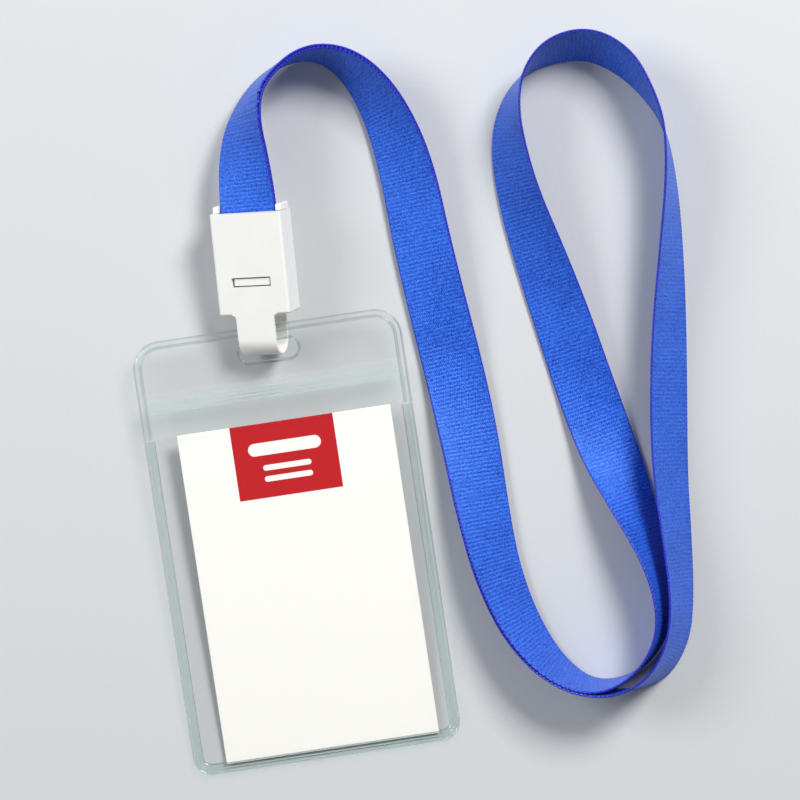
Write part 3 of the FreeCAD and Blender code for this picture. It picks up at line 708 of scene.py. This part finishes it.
def card_skin():
    """The card's outline in layers from its back to its face, drawn in a little at the cut edges."""
    rings = []
    for inset, high in ((CUT_IN, 0.0), (0.0, CUT_DEEP), (0.0, CARD_THICK - CUT_DEEP), (CUT_IN, CARD_THICK)):
        flat = rounded_box(CARD_WIDTH - 2 * inset, CARD_LONG - 2 * inset, CORNER, 4)
        flat = flat + (CARD_SIDE, CARD_TOP - CARD_LONG / 2)
        rings.append(np.column_stack([flat, np.full(len(flat), CARD_LOW + high)]))
    return np.array(rings)


card_rings = card_skin()
card_mesh = loop_mesh("printed_card", in_pouch(card_rings))
card_mesh.shade_flat()
card_uv = card_mesh.uv_layers.new(name="UVMap")
corner = np.empty(len(card_mesh.loops), dtype=int)
card_mesh.loops.foreach_get("vertex_index", corner)
across_card = card_rings.reshape(-1, 3)[:, 0] - CARD_SIDE + CARD_WIDTH / 2
down_card = CARD_TOP - card_rings.reshape(-1, 3)[:, 1]
UV_SCALE = 10              # the map counts tenths of a metre, so that the card lies within one tile
card_uv.data.foreach_set("uv", np.column_stack([across_card, down_card])[corner].ravel() * UV_SCALE)

# Coated white card, printed: the ink is a little glossier than the bare card.
PANEL = (0.0133, 0.0, 0.0260, 0.0186)       # from the card's left, from its head, width, height
BAR_MIDDLE = 0.0263        # from the card's left
# each bar's middle from the card's head, half its length, and half its thickness
BARS = ((0.0064, 0.0076, 0.0016), (0.0112, 0.0054, 0.0007), (0.0140, 0.0054, 0.0007))
PANEL_CORNER = 0.00005
INK_BLUR = 0.00004         # half the width over which the ink ends
card_material, tree = new_material("coated_card")
card_map = add(tree, "UVMap", uv_map="UVMap")
on_card = add(tree, "VectorMath", {0: card_map.outputs["UV"], 1: (1 / UV_SCALE, 1 / UV_SCALE, 0.0)},
              operation="MULTIPLY")


def inside_box(centre, half_size, roundness):
    """1 inside a round-cornered box, 0 outside: the distance beyond the box's inner part, against the
    roundness."""
    away = add(tree, "VectorMath", {0: on_card.outputs[0], 1: (*centre, 0.0)}, operation="SUBTRACT")
    away = add(tree, "VectorMath", {0: away.outputs[0]}, operation="ABSOLUTE")
    away = add(tree, "VectorMath", {0: away.outputs[0], 1: (*half_size, 0.0)}, operation="SUBTRACT")
    away = add(tree, "VectorMath", {0: away.outputs[0], 1: (0.0, 0.0, 0.0)}, operation="MAXIMUM")
    far = add(tree, "VectorMath", {0: away.outputs[0]}, operation="LENGTH")
    return add(tree, "MapRange", {"Value": far.outputs["Value"], "From Min": roundness + INK_BLUR,
                                  "From Max": roundness - INK_BLUR}).outputs[0]


left, head, wide_panel, high_panel = PANEL
ink = inside_box((left + wide_panel / 2, head + high_panel / 2), (wide_panel / 2, high_panel / 2),
                 PANEL_CORNER)
bars = [inside_box((BAR_MIDDLE, down), (half_long, 0.0), thick) for down, half_long, thick in BARS]
bare = add(tree, "Math", {0: bars[0], 1: bars[1]}, operation="MAXIMUM")
bare = add(tree, "Math", {0: bare.outputs[0], 1: bars[2]}, operation="MAXIMUM")
printed = add(tree, "Math", {0: ink, 1: bare.outputs[0]}, operation="SUBTRACT", use_clamp=True)
card_place = add(tree, "TexCoord").outputs["Object"]
fibre = add(tree, "TexNoise", {"Vector": card_place, "Scale": 1500.0, "Detail": 4.0})
paper = add(tree, "ValToRGB", {"Fac": fibre.outputs["Fac"]})
paper.color_ramp.elements[0].color = linear("#F4F2EC")
paper.color_ramp.elements[1].color = linear("#FAF9F4")
print_ink = add(tree, "ValToRGB", {"Fac": fibre.outputs["Fac"]})
print_ink.color_ramp.elements[0].color = linear("#B80210")
print_ink.color_ramp.elements[1].color = linear("#C80A16")
face_colour = add(tree, "Mix", {0: printed.outputs[0], 6: paper.outputs["Color"],
                                7: print_ink.outputs["Color"]}, data_type="RGBA")
gloss = add(tree, "MapRange", {"Value": printed.outputs[0], "To Min": 0.55, "To Max": 0.38})
tooth = add(tree, "Bump", {"Height": fibre.outputs["Fac"], "Strength": 0.25, "Distance": 0.00002})
coated = add(tree, "BsdfPrincipled", {"Base Color": face_colour.outputs[2], "Roughness": gloss.outputs[0],
                                      "Specular IOR Level": 0.2, "Normal": tooth.outputs["Normal"]})
add(tree, "OutputMaterial", {"Surface": coated.outputs["BSDF"]})
finish_piece(card_mesh, card_material, "card", "card", "insert_card")
